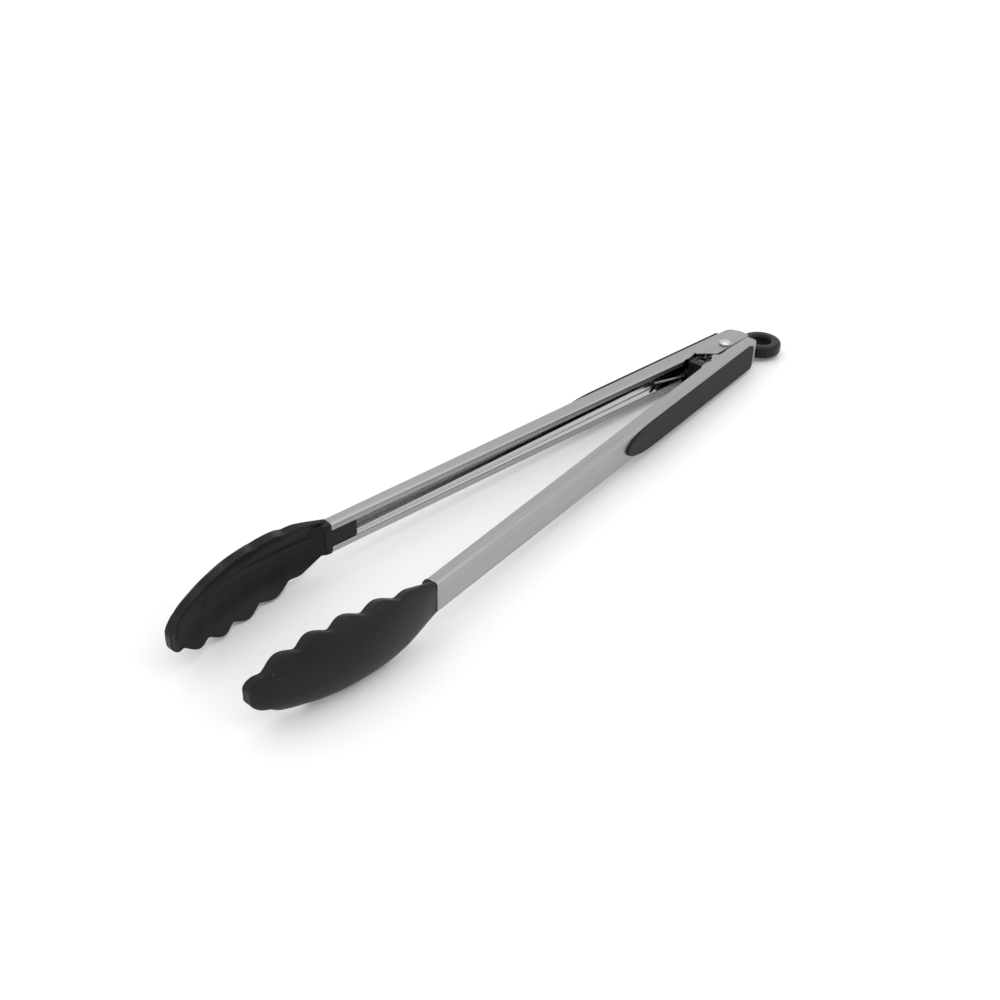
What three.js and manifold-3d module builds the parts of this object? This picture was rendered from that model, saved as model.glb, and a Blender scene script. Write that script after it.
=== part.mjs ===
// Spring loaded kitchen tongs: two stainless channel arms on one rivet, with nylon heads, soft
// grips, a torsion spring, and a lock slide with a pull ring behind the hinge.
// Millimetres. +X runs from the hinge to the heads, +Z is the pivot axis, the left arm is at +Y.
import * as THREE from "three";
import { mergeVertices } from "three/addons/utils/BufferGeometryUtils.js";
import Module from "manifold-3d";

// Whole object: where the pivot stands above the origin at the bottom centre of the box.
const PIVOT = { x: -145.6, y: 0, z: 15.943 };
const OPEN_ANGLE = THREE.MathUtils.degToRad(4.9);
const CLEARANCE = 0.3;

// Arms: a C channel with its web outside and two lips on the inner edges.
const SHEET = 0.9;
const ARM = { height: 14.5, length: 250, web: 10.75, innerBack: 2.5, innerFront: 5.0 };
const LIP = { start: 30, depth: 3.2 };
const CHANNEL_START = 25;
const HALF = ARM.height / 2;
const EAR_DROP = SHEET + CLEARANCE;
const RIVET_HOLE = 2.55;
const HINGE_END = -14.3;
const END_RADIUS = 2;

// Grip insert on the outside of each web.
const GRIP = { back: -9.5, front: 113, half: 6.7, thick: 1.2, gap: 0.2, corner: 2.5, nose: 24 };

// Heads: a scalloped cup with a collar, a shank tongue and a spine.
const HEAD = { start: ARM.length + CLEARANCE, tip: 334 };
const CUP = { wall: 2.6, rimWall: 4.8, draft: 0.8, fullness: 0.94, along: 68, across: 12 };
const RIM_START = { wall: 2.4, end: 275 };
const TIP_FILL = { start: 325, end: 333 };
const LOBE = { depth: 1.7, fadeStart: 260, fadeEnd: 268 };
const NOTCHES = [240, 255.2, 271.2, 287.2, 301.5, 314.7, 327.5, 340];
// Each row is [x, value]: half height of the edge, outer skin's crown, and rim.
const HEAD_HALF = [
  [250, 7.6],
  [256, 9.6],
  [262, 11.4],
  [270, 13.5],
  [280, 15.1],
  [292, 15.9],
  [303, 15.7],
  [313, 14.3],
  [322, 11.9],
  [329, 8.8],
  [332, 6.2],
  [334, 3.4],
];
const HEAD_BACK = [
  [250, 10.6],
  [262, 12.3],
  [280, 12.9],
  [297, 10.9],
  [313, 6.3],
  [326, 0.6],
  [334, -4.2],
];
const HEAD_RIM = [
  [250, 7.6],
  [262, 6.0],
  [272, 4.2],
  [286, 1.6],
  [295, -0.3],
  [304, -2.4],
  [318, -6.0],
  [334, -9.4],
];
const NECK = { inner: 5.2, half: 7.2, bend: 2.2, length: 10.5, taperTo: 9.7 };
const TONGUE = { back: 237, front: 3, half: 6.05, midHalf: 3.7 };
const SPINE = { halfAtNeck: 2.6, halfAtTip: 1.0, rise: 2.3, fall: 0.2, end: 321 };

// Hinge core.
const RIVET = { shank: 2.2, head: 3.1, dome: 0.9, flat: 0.9 };
const COLLAR = { inner: 2.5, outer: 3.5, low: -1.8, high: 4.0 };
const WASHER = { inner: 2.5, outer: 5.4, thick: 0.5, face: 4.5 };
const WIRE = { radius: 0.7, coil: 4.9, turns: 2.5, low: -1.1, high: 3.1, steps: 132, sides: 10 };
const LEG = { bendX: 27, bendY: 6.6, endX: 43, endY: 12.3, leaveX: 5, lowMid: -2.5, lowEnd: -3.3 };
const LEG_OUT = { leave: 0.2, mid: 0.5, lowMid: 0.8 };

// Lock slide and pull ring.
const SLIDE = { low: -4.3, high: -2.2, half: 4, front: 27, blockBack: 18, blockTop: 5.95 };
const SLOT = { back: -3, front: 9, half: 2.6 };
const WING = { back: -4, front: 4, half: 8 };
const TAIL = { half: 3.2, pinX: -21, low: -4.3, high: -2.2 };
const CROSS_PIN = { x: 21, z: 4.1, radius: 1.4, half: 3.4, window: 2.2, floor: 2.6 };
const RING = { reach: 11, outer: 10.8, inner: 5.2, low: -7.0, high: -0.5, lug: 3.7, lugLow: -6, gap: 4.5 };
const RING_SKEW = THREE.MathUtils.degToRad(-16);
const RING_PIN = 1.2;

const MATERIALS = {
  steel: { color: 0xa9aaac, roughness: 0.34, metalness: 1 },
  rivet: { color: 0xc9cbcd, roughness: 0.2, metalness: 1 },
  wire: { color: 0xb4b6b9, roughness: 0.28, metalness: 1 },
  grip: { color: 0x37393b, roughness: 0.8, metalness: 0 },
  nylon: { color: 0x1b1b1d, roughness: 0.42, metalness: 0 },
};

const wasm = await Module();
wasm.setup();

/** Turns a closed three.js geometry into a solid for booleans. */
function solid(geometry) {
  const flat = geometry.index ? geometry.toNonIndexed() : geometry;
  const plain = new THREE.BufferGeometry();
  plain.setAttribute("position", flat.getAttribute("position"));
  const merged = mergeVertices(plain, 1e-4);
  const mesh = new wasm.Mesh({
    numProp: 3,
    vertProperties: merged.attributes.position.array,
    triVerts: new Uint32Array(merged.index.array),
  });
  return new wasm.Manifold(mesh);
}

/** Turns a solid back into a three.js geometry with flat facets. */
function geometryOf(body) {
  const mesh = body.getMesh();
  const geometry = new THREE.BufferGeometry();
  geometry.setAttribute("position", new THREE.BufferAttribute(mesh.vertProperties, 3));
  geometry.setIndex(new THREE.BufferAttribute(mesh.triVerts, 1));
  const faceted = geometry.toNonIndexed();
  faceted.computeVertexNormals();
  return faceted;
}

/** A named mesh in one of the materials. */
function piece(name, body, finish) {
  const mesh = new THREE.Mesh(geometryOf(body), new THREE.MeshStandardMaterial(MATERIALS[finish]));
  mesh.name = name;
  return mesh;
}

/** An outline in X and Y, extruded between two heights. */
function plate(points, low, high) {
  const shape = new THREE.Shape(points.map(([x, y]) => new THREE.Vector2(x, y)));
  const geometry = new THREE.ExtrudeGeometry(shape, { depth: high - low, bevelEnabled: false });
  geometry.translate(0, 0, low);
  return solid(geometry);
}

/** An outline in X and Z, extruded between two Y values. */
function panel(points, low, high) {
  const shape = new THREE.Shape(points.map(([x, z]) => new THREE.Vector2(x, z)));
  const geometry = new THREE.ExtrudeGeometry(shape, { depth: high - low, bevelEnabled: false });
  geometry.translate(0, 0, -high);
  geometry.rotateX(Math.PI / 2);
  return solid(geometry);
}

/** A box from its low and high corners. */
function block(low, high) {
  const size = high.map((value, i) => value - low[i]);
  const geometry = new THREE.BoxGeometry(...size);
  geometry.translate(...low.map((value, i) => value + size[i] / 2));
  return solid(geometry);
}

/** An upright cylinder between two heights. */
function post(x, y, radius, low, high, sides = 32) {
  const geometry = new THREE.CylinderGeometry(radius, radius, high - low, sides);
  geometry.rotateX(Math.PI / 2);
  geometry.translate(x, y, (low + high) / 2);
  return solid(geometry);
}

/** The same solid and its mirror image below the middle plane. */
function bothSides(make) {
  return make(1).add(make(-1));
}

/** Height of the flange's inner edge at a point along the arm. */
function innerEdge(x) {
  const along = (x - CHANNEL_START) / (ARM.length - CHANNEL_START);
  return ARM.innerBack + (ARM.innerFront - ARM.innerBack) * along;
}

/** Plan of the flanges from the web to the inner edge, with the hinge end given by its points. */
function flangePlan(hingePoints) {
  return [...hingePoints, [ARM.length, ARM.innerFront], [ARM.length, ARM.web]];
}

/** Corner points of a rounded hinge end at the web. */
function roundedEnd(endX) {
  const points = [];
  for (let i = 0; i <= 5; i += 1) {
    const turn = (Math.PI / 2) * (i / 5);
    const x = endX + END_RADIUS * (1 - Math.sin(turn));
    points.push([x, ARM.web - END_RADIUS * (1 - Math.cos(turn))]);
  }
  return points;
}

/** The hollow between web, flanges and lips, as one tool to cut away. */
function channelHollow() {
  const top = HALF - SHEET;
  const web = ARM.web - SHEET;
  const far = ARM.length + 1;
  const lipBack = LIP.start;
  const cavity = [
    [lipBack, innerEdge(lipBack) + SHEET],
    [far, innerEdge(far) + SHEET],
    [far, web],
    [lipBack, web],
  ];
  const mouth = [
    [lipBack, innerEdge(lipBack) - 1],
    [far, innerEdge(far) - 1],
    [far, web],
    [lipBack, web],
  ];
  const hinge = [
    [HINGE_END - 6, -9],
    [LIP.start + 0.01, -9],
    [LIP.start + 0.01, web],
    [HINGE_END - 6, web],
  ];
  return plate(cavity, -top, top)
    .add(plate(mouth, LIP.depth - HALF, HALF - LIP.depth))
    .add(plate(hinge, -top, top));
}

/** Right arm: its ears lie outside and carry the rivet heads. */
function outerArm() {
  const plan = flangePlan([
    [-11.5, ARM.web],
    [-14.0, 9.9],
    [-16.2, 8.2],
    [-17.5, 6.0],
    [-18.0, 3.4],
    [-17.8, 0.8],
    [-16.8, -1.2],
    [-15.3, -2.0],
    [-11.9, -2.4],
    [9.0, -3.8],
    [12.1, -3.8],
    [14.4, -1.3],
    [20.4, 3.7],
    [CHANNEL_START, ARM.innerBack],
  ]);
  return plate(plan, -HALF, HALF)
    .subtract(channelHollow())
    .subtract(post(0, 0, RIVET_HOLE, -HALF - 1, HALF + 1));
}

/** Left arm: its flanges stop at the seam and its ears are set down under the other arm's. */
function innerArm() {
  const plan = flangePlan([
    ...roundedEnd(HINGE_END),
    [-14.7, 5.2],
    [0.3, 4.0],
    [5.0, 3.7],
    [9.2, 3.95],
    [12.3, 3.8],
    [14.7, 0.8],
    [21.5, 3.4],
    [CHANNEL_START, ARM.innerBack],
  ]);
  const ear = [
    [-11, 8.6],
    [-9.0, 1.5],
    [-6.4, -4.6],
    [-2.5, -7.2],
    [2.5, -7.2],
    [6.4, -4.6],
    [9.0, 1.0],
    [11.5, 4.4],
    [11, 8.6],
  ];
  const step = [
    [-11, 8.6],
    [-11, 4.94],
    [0.3, 4.0],
    [5.0, 3.7],
    [9.2, 3.95],
    [11.5, 4.4],
    [11, 8.6],
  ];
  const low = HALF - SHEET - EAR_DROP;
  const ears = bothSides((side) => {
    const sheet = side > 0 ? [low, low + SHEET] : [-low - SHEET, -low];
    const riser = side > 0 ? [low, HALF - SHEET / 2] : [SHEET / 2 - HALF, -low];
    return plate(ear, ...sheet).add(plate(step, ...riser));
  });
  return plate(plan, -HALF, HALF)
    .subtract(channelHollow())
    .add(ears)
    .subtract(post(0, 0, RIVET_HOLE, -HALF - 1, HALF + 1));
}

/** Grip insert: full web height, rounded at the hinge, ending in a long rounded nose. */
function grip() {
  const points = [];
  for (let i = 0; i <= 5; i += 1) {
    const turn = (Math.PI / 2) * (i / 5);
    points.push([
      GRIP.back + GRIP.corner * (1 - Math.sin(turn)),
      GRIP.half - GRIP.corner * (1 - Math.cos(turn)),
    ]);
  }
  points.reverse();
  const upper = [];
  const steps = 14;
  for (let i = 0; i <= steps; i += 1) {
    const turn = (Math.PI / 2) * (i / steps);
    upper.push([GRIP.front - GRIP.nose * (1 - Math.sin(turn)), GRIP.half * Math.cos(turn)]);
  }
  const outline = [...points, ...upper];
  const lower = outline.filter(([, z]) => z > 1e-6).map(([x, z]) => [x, -z]);
  const low = ARM.web + GRIP.gap;
  return panel([...outline, ...lower.reverse()], low, low + GRIP.thick);
}

/** Smooth value at x through a row of [x, value] points. */
function curveAt(row, x) {
  const places = row.map(([place]) => place);
  const values = row.map(([, value]) => value);
  const curve = new THREE.CubicInterpolant(places, values, 1, new Float32Array(1));
  return curve.evaluate(Math.min(Math.max(x, places[0]), places[places.length - 1]))[0];
}

/** Half height of the head at a point along its length, with its scalloped edge. */
function headHalf(x) {
  const next = NOTCHES.findIndex((notch) => notch > x);
  const share = (x - NOTCHES[next - 1]) / (NOTCHES[next] - NOTCHES[next - 1]);
  const wave = Math.sin(Math.PI * share);
  const fade = THREE.MathUtils.smoothstep(x, LOBE.fadeStart, LOBE.fadeEnd);
  return curveAt(HEAD_HALF, x) - LOBE.depth * (1 - wave) * fade;
}

/** Thickness of the rim, which grows from the collar forward. */
function rimWall(x) {
  const share = THREE.MathUtils.smoothstep(x, HEAD.start, RIM_START.end);
  return RIM_START.wall + (CUP.rimWall - RIM_START.wall) * share;
}

/** Distance of the cup's outer skin from the arm's middle line at a height above its crown. */
function skin(x, z) {
  const across = Math.min(Math.abs(z) / curveAt(HEAD_HALF, x), 1);
  const round = 1 - Math.sqrt(1 - Math.pow(CUP.fullness * across, 2.2));
  const full = 1 - Math.sqrt(1 - Math.pow(CUP.fullness, 2.2));
  const back = curveAt(HEAD_BACK, x);
  return back - (back - curveAt(HEAD_RIM, x) - rimWall(x)) * (round / full);
}

/** Scalloped cup: a thick sheet bent round both ways, with its edge cut across. */
function cup() {
  const geometry = new THREE.BoxGeometry(1, 1, 1, CUP.along, 1, CUP.across);
  const places = geometry.getAttribute("position");
  const length = HEAD.tip - HEAD.start;
  for (let i = 0; i < places.count; i += 1) {
    const x = HEAD.start + length * (places.getX(i) + 0.5);
    const across = 2 * places.getZ(i);
    const inward = 0.5 - places.getY(i);
    const z = across * (headHalf(x) - inward * CUP.draft);
    const atTip = THREE.MathUtils.smoothstep(x, TIP_FILL.start, TIP_FILL.end);
    const wall = CUP.wall + (rimWall(x) - CUP.wall) * Math.max(across * across, atTip);
    places.setXYZ(i, x, skin(x, z) - inward * wall, z);
  }
  geometry.deleteAttribute("normal");
  geometry.deleteAttribute("uv");
  return solid(geometry);
}

/** Collar and shank tongue that slides into the channel. */
function shank() {
  const outer = ARM.web - SHEET - CLEARANCE;
  const inner = ARM.innerFront + SHEET + CLEARANCE;
  const front = HEAD.start + TONGUE.front;
  const end = HEAD.start + NECK.length;
  const collar = [
    [HEAD.start, NECK.inner],
    [HEAD.start + NECK.bend, NECK.inner + CLEARANCE],
    [end, NECK.taperTo],
    [end, ARM.web - SHEET / 2],
    [HEAD.start, ARM.web - SHEET / 2],
  ];
  return plate(collar, -NECK.half, NECK.half)
    .add(block([TONGUE.back, inner, -TONGUE.half], [front, outer, TONGUE.half]))
    .add(block([TONGUE.back, NECK.inner, -TONGUE.midHalf], [front, outer, TONGUE.midHalf]));
}

/** Raised spine on the inside of the cup, narrowing to the tip. */
function spine() {
  const stops = [HEAD.start + 1, 260, 270, 280, 290, 300, 310, 320];
  const rise = stops.map((_, i) => SPINE.rise - SPINE.fall * i);
  const crest = stops.map((x, i) => [x, curveAt(HEAD_BACK, x) - CUP.wall - rise[i]]);
  const root = stops.map((x) => [x, curveAt(HEAD_BACK, x) - CUP.wall / 2]).reverse();
  const taper = [
    [HEAD.start, -SPINE.halfAtNeck],
    [SPINE.end, -SPINE.halfAtTip],
    [SPINE.end, SPINE.halfAtTip],
    [HEAD.start, SPINE.halfAtNeck],
  ];
  return plate([...crest, ...root], -HALF, HALF).intersect(panel(taper, -ARM.height, ARM.height));
}

/** One nylon head with its shank. */
function head() {
  return cup().add(shank()).add(spine());
}

/** A body of revolution about the pivot, from radius and height pairs. */
function turned(profile, segments = 32) {
  const points = profile.map(([r, z]) => new THREE.Vector2(r, z));
  const geometry = new THREE.LatheGeometry(points, segments);
  geometry.rotateX(Math.PI / 2);
  return solid(geometry);
}

/** Pivot rivet with a domed head at each end. */
function rivet() {
  const seat = HALF + 0.1;
  const top = seat + RIVET.flat;
  const half = [
    [RIVET.shank, seat],
    [RIVET.head, seat],
    [RIVET.head, top],
    [RIVET.head * 0.72, top + RIVET.dome * 0.6],
    [RIVET.head * 0.36, top + RIVET.dome * 0.92],
    [0, top + RIVET.dome],
  ];
  const lower = half.map(([r, z]) => [r, -z]).reverse();
  return turned([...lower, ...half]);
}

/** Spacer sleeve between the ears, inside the spring's coil. */
function sleeve() {
  return turned([
    [COLLAR.inner, COLLAR.low],
    [COLLAR.outer, COLLAR.low],
    [COLLAR.outer, COLLAR.high],
    [COLLAR.inner, COLLAR.high],
    [COLLAR.inner, COLLAR.low],
  ]);
}

/** Washer against the inner face of one ear. */
function washer(side) {
  const low = side > 0 ? WASHER.face : -WASHER.face - WASHER.thick;
  return post(0, 0, WASHER.outer, low, low + WASHER.thick).subtract(
    post(0, 0, WASHER.inner, low - 1, low + WASHER.thick + 1),
  );
}

/** Torsion spring: a coil with one leg along each arm. */
function torsionSpring() {
  const path = [new THREE.Vector3(LEG.endX, LEG.endY, WIRE.high)];
  path.push(new THREE.Vector3(LEG.bendX, LEG.bendY, WIRE.high));
  path.push(new THREE.Vector3(LEG.bendX / 2, WIRE.coil + LEG_OUT.mid, WIRE.high));
  const stops = 40;
  for (let i = 0; i <= stops; i += 1) {
    const turn = Math.PI / 2 + 2 * Math.PI * WIRE.turns * (i / stops);
    const z = WIRE.high + (WIRE.low - WIRE.high) * (i / stops);
    path.push(new THREE.Vector3(WIRE.coil * Math.cos(turn), WIRE.coil * Math.sin(turn), z));
  }
  path.push(new THREE.Vector3(LEG.leaveX, -WIRE.coil - LEG_OUT.leave, WIRE.low));
  path.push(new THREE.Vector3(LEG.bendX / 2, -WIRE.coil - LEG_OUT.lowMid, LEG.lowMid));
  path.push(new THREE.Vector3(LEG.bendX, -LEG.bendY, LEG.lowEnd));
  path.push(new THREE.Vector3(LEG.endX, -LEG.endY, LEG.lowEnd));
  const section = new THREE.Shape();
  section.absarc(0, 0, WIRE.radius, 0, 2 * Math.PI, false);
  const geometry = new THREE.ExtrudeGeometry(section, {
    steps: WIRE.steps,
    curveSegments: WIRE.sides / 2,
    extrudePath: new THREE.CatmullRomCurve3(path, false, "centripetal"),
  });
  return solid(geometry);
}

/** Lock slide: a slotted plate under the coil, wings, a front block and a tail. */
function lockSlide() {
  const slot = [
    [SLOT.back, -SLOT.half],
    [SLOT.front, -SLOT.half],
    [SLOT.front, SLOT.half],
    [SLOT.back, SLOT.half],
  ];
  const tail = block([TAIL.pinX, -TAIL.half, TAIL.low], [WING.back + 1, TAIL.half, TAIL.high]);
  const pocket = { low: CROSS_PIN.x - CROSS_PIN.window, high: CROSS_PIN.x + CROSS_PIN.window };
  return block([WING.back, -SLIDE.half, SLIDE.low], [SLIDE.front, SLIDE.half, SLIDE.high])
    .add(block([WING.back, -WING.half, SLIDE.low], [WING.front, WING.half, SLIDE.high]))
    .add(block([SLIDE.blockBack, -SLIDE.half, SLIDE.low], [SLIDE.front, SLIDE.half, SLIDE.blockTop]))
    .subtract(plate(slot, SLIDE.low - 1, SLIDE.high + 1))
    .add(tail)
    .add(post(TAIL.pinX, 0, TAIL.half, TAIL.low, TAIL.high))
    .subtract(post(TAIL.pinX, 0, RING_PIN + CLEARANCE, TAIL.low - 1, TAIL.high + 1))
    .subtract(block([pocket.low, -2, CROSS_PIN.floor], [pocket.high, 2, SLIDE.blockTop + 1]))
    .subtract(crossPin(CLEARANCE, 1));
}

/** Steel cross pin in the lock slide's front block. */
function crossPin(grow = 0, longer = 0) {
  const radius = CROSS_PIN.radius + grow;
  const geometry = new THREE.CylinderGeometry(radius, radius, 2 * (CROSS_PIN.half + longer), 20);
  geometry.translate(CROSS_PIN.x, 0, CROSS_PIN.z);
  return solid(geometry);
}

/** Pull ring with two lugs round the tail, built about its own pin. */
function pullRing() {
  const loop = post(-RING.reach, 0, RING.outer, RING.low, RING.high, 48);
  const hole = post(-RING.reach, 0, RING.inner, RING.low - 1, RING.high + 1, 40);
  const neck = block([-RING.reach + 7, -RING.lug, RING.lugLow], [0, RING.lug, RING.high]);
  const slot = post(0, 0, RING.gap, TAIL.low - CLEARANCE, TAIL.high + CLEARANCE);
  return loop
    .subtract(hole)
    .add(neck)
    .add(post(0, 0, RING.lug, RING.lugLow, RING.high))
    .subtract(slot)
    .subtract(post(0, 0, RING_PIN + 0.1, RING.low - 1, RING.high + 1));
}

/** One arm with its grip and head, turned out to the open stop. */
function arm(name, side, channel) {
  const group = new THREE.Group();
  group.add(piece(`${name}_arm_channel`, channel, "steel"));
  group.add(piece(`${name}_grip`, grip(), "grip"));
  group.add(piece(`${name}_head`, head(), "nylon"));
  group.rotation.z = side * OPEN_ANGLE;
  group.scale.y = side;
  return group;
}

const tongs = new THREE.Group();
tongs.name = "kitchen_tongs";
tongs.position.set(PIVOT.x, PIVOT.y, PIVOT.z);
tongs.add(arm("left", 1, innerArm()));
tongs.add(arm("right", -1, outerArm()));
tongs.add(piece("pivot_rivet", rivet(), "rivet"));
tongs.add(piece("pivot_sleeve", sleeve(), "steel"));
tongs.add(piece("upper_washer", washer(1), "rivet"));
tongs.add(piece("lower_washer", washer(-1), "rivet"));
tongs.add(piece("torsion_spring", torsionSpring(), "wire"));
tongs.add(piece("lock_slide", lockSlide(), "nylon"));
tongs.add(piece("lock_cross_pin", crossPin(), "steel"));

const ring = new THREE.Group();
ring.position.x = TAIL.pinX;
ring.rotation.z = RING_SKEW;
ring.add(piece("pull_ring", pullRing(), "nylon"));
ring.add(piece("ring_pin", post(0, 0, RING_PIN, RING.lugLow + 0.2, RING.high - 0.2, 20), "rivet"));
tongs.add(ring);

export default tongs;
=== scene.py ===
"""Spring loaded kitchen tongs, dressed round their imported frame.

Every piece is built in its own frame in millimetres: the arms in the arm frame, where X runs
from the pivot to the head and Y points outward, and the rest about the pivot. Objects are in
metres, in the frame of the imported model.
"""

import logging
import math
from dataclasses import dataclass
from enum import Enum
from typing import Sequence

import bmesh
import bpy
from mathutils import Euler, Matrix, Vector


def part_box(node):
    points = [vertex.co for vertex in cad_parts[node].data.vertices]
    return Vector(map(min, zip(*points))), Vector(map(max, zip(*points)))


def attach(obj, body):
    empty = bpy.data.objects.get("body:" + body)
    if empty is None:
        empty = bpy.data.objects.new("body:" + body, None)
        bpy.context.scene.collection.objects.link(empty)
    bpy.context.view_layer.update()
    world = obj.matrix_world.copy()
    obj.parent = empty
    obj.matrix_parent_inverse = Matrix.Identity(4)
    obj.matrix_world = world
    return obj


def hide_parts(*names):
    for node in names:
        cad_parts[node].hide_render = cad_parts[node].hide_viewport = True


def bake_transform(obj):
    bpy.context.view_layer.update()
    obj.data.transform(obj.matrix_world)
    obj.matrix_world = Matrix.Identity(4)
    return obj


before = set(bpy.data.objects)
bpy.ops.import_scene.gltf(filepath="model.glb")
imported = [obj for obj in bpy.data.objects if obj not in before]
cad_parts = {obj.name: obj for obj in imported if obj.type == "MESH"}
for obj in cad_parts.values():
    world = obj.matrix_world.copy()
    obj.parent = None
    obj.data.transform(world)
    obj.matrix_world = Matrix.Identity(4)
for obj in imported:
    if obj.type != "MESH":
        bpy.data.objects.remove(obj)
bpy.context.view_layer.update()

MM = 0.001
OPEN_ANGLE = math.radians(4.9)
CORNER_SHARE = 0.48
NO_ROUNDING = 1e-4
BEYOND = 12.0
FINE_TRIM = {"gap": 0.0008, "angle": 0.05}

Point = tuple[float, float, float]
Flat = tuple[float, float]

log = logging.getLogger("tongs")


class Side(Enum):
    """Which arm a piece belongs to, by the sign of its outward Y."""

    LEFT = 1
    RIGHT = -1

    @property
    def word(self) -> str:
        """The side's name in lower case."""
        return self.name.lower()


class Cut(Enum):
    """How one solid is combined with another."""

    KEEP_COMMON = "INTERSECT"
    TAKE_AWAY = "DIFFERENCE"
    JOIN = "UNION"


# ---------------------------------------------------------------- curves and outlines


def hermite(row: Sequence[Flat], x: float) -> float:
    """Smooth value at x through a row of points.

    Args:
        row: pairs of place and value, with the places rising.
        x: the place to read, held inside the row.

    Returns:
        The value of the smooth curve there.
    """
    x = min(max(x, row[0][0]), row[-1][0])
    last = len(row) - 1
    i = 0
    while i < last - 1 and row[i + 1][0] < x:
        i += 1

    def slope(k: int) -> float:
        """Slope of the curve at point k."""
        low, high = max(k - 1, 0), min(k + 1, last)
        return (row[high][1] - row[low][1]) / (row[high][0] - row[low][0])

    span = row[i + 1][0] - row[i][0]
    t = (x - row[i][0]) / span
    start, end = row[i][1], row[i + 1][1]
    return (
        (2 * t**3 - 3 * t**2 + 1) * start
        + (t**3 - 2 * t**2 + t) * span * slope(i)
        + (3 * t**2 - 2 * t**3) * end
        + (t**3 - t**2) * span * slope(i + 1)
    )


def smoothstep(x: float, low: float, high: float) -> float:
    """A soft step from 0 at low to 1 at high."""
    t = min(max((x - low) / (high - low), 0.0), 1.0)
    return t * t * (3 - 2 * t)


def arc(centre: Flat, radius: float, start: float, end: float, steps: int) -> list[Flat]:
    """Points on a circular arc.

    Args:
        centre: the arc's centre.
        radius: its radius.
        start: first angle in degrees.
        end: last angle in degrees.
        steps: how many chords the arc is cut into.

    Returns:
        The points from start to end.
    """
    points = []
    for i in range(steps + 1):
        turn = math.radians(start + (end - start) * i / steps)
        points.append((centre[0] + radius * math.cos(turn), centre[1] + radius * math.sin(turn)))
    return points


def corner(before: Flat, at: Flat, after: Flat, reach: float, steps: int = 5) -> list[Flat]:
    """A rounded corner between two straight edges.

    Args:
        before: a point on the edge that comes in.
        at: the sharp corner.
        after: a point on the edge that goes out.
        reach: how far the rounding reaches along both edges.
        steps: how many chords it is cut into.

    Returns:
        The points from one edge to the other.
    """
    here = Vector(at)
    first = here + (Vector(before) - here).normalized() * reach
    last = here + (Vector(after) - here).normalized() * reach
    points = []
    for k in range(steps + 1):
        t = k / steps
        p = first * (1 - t) ** 2 + here * 2 * t * (1 - t) + last * t**2
        points.append((p.x, p.y))
    return points


def rounded(outline: Sequence[Flat], radii: Sequence[float]) -> list[Flat]:
    """A closed outline with its corners rounded off.

    Args:
        outline: the corner points in order.
        radii: how far each corner's rounding reaches along its two edges.

    Returns:
        The rounded outline.
    """
    points: list[Flat] = []
    count = len(outline)
    for i, at in enumerate(outline):
        before, after = outline[i - 1], outline[(i + 1) % count]
        shorter = min((Vector(before) - Vector(at)).length, (Vector(after) - Vector(at)).length)
        reach = min(radii[i], CORNER_SHARE * shorter)
        points += corner(before, at, after, reach) if reach > NO_ROUNDING else [at]
    return points


def through(points: Sequence[Vector], steps: int) -> list[Vector]:
    """A smooth path through points, with even spacing of its knots by chord length.

    Args:
        points: the points it passes through.
        steps: samples for each stretch between two points.

    Returns:
        The samples, with the first and last point among them.
    """
    ends = [points[0] * 2 - points[1], *points, points[-1] * 2 - points[-2]]
    path = []
    for i in range(1, len(ends) - 2):
        a, b, c, d = ends[i - 1 : i + 3]
        t0 = 0.0
        t1 = t0 + math.sqrt((b - a).length)
        t2 = t1 + math.sqrt((c - b).length)
        t3 = t2 + math.sqrt((d - c).length)
        for k in range(steps):
            t = t1 + (t2 - t1) * k / steps
            ab = a.lerp(b, (t - t0) / (t1 - t0))
            bc = b.lerp(c, (t - t1) / (t2 - t1))
            cd = c.lerp(d, (t - t2) / (t3 - t2))
            abc = ab.lerp(bc, (t - t0) / (t2 - t0))
            bcd = bc.lerp(cd, (t - t1) / (t3 - t1))
            path.append(abc.lerp(bcd, (t - t1) / (t2 - t1)))
    path.append(points[-1].copy())
    return path


# ---------------------------------------------------------------- meshes


def mesh_object(
    name: str, points: Sequence[Point], faces: Sequence[Sequence[int]], mirror: int = 1
) -> bpy.types.Object:
    """Makes a mesh object with its faces turned outward.

    Args:
        name: the object's name.
        points: its points in millimetres.
        faces: each face as indices of the points.
        mirror: -1 turns Y round, for the right arm.

    Returns:
        The object, in the scene.
    """
    mesh = bpy.data.meshes.new(name)
    mesh.from_pydata([Vector((x, y * mirror, z)) * MM for x, y, z in points], [], faces)
    bm = bmesh.new()
    bm.from_mesh(mesh)
    bmesh.ops.remove_doubles(bm, verts=bm.verts, dist=1e-7)
    bmesh.ops.recalc_face_normals(bm, faces=bm.faces)
    bm.to_mesh(mesh)
    bm.free()
    obj = bpy.data.objects.new(name, mesh)
    bpy.context.scene.collection.objects.link(obj)
    return obj


def loft(name: str, rings: Sequence[Sequence[Point]], mirror: int = 1) -> bpy.types.Object:
    """A closed skin over rings that all have the same number of points.

    Args:
        name: the object's name.
        rings: closed loops of points, in order.
        mirror: -1 turns Y round.

    Returns:
        The object, capped at both ends.
    """
    count = len(rings[0])
    points = [p for ring in rings for p in ring]
    faces: list[tuple[int, ...]] = []
    for i in range(len(rings) - 1):
        base = i * count
        for j in range(count):
            k = (j + 1) % count
            faces.append((base + j, base + k, base + count + k, base + count + j))
    faces.append(tuple(range(count)))
    faces.append(tuple(range(len(points) - count, len(points))))
    return mesh_object(name, points, faces, mirror)


def prism(
    name: str, outline: Sequence[Flat], low: float, high: float, mirror: int = 1
) -> bpy.types.Object:
    """An outline in X and Y, extruded between two heights."""
    return loft(name, [[(x, y, z) for x, y in outline] for z in (low, high)], mirror)


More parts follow.
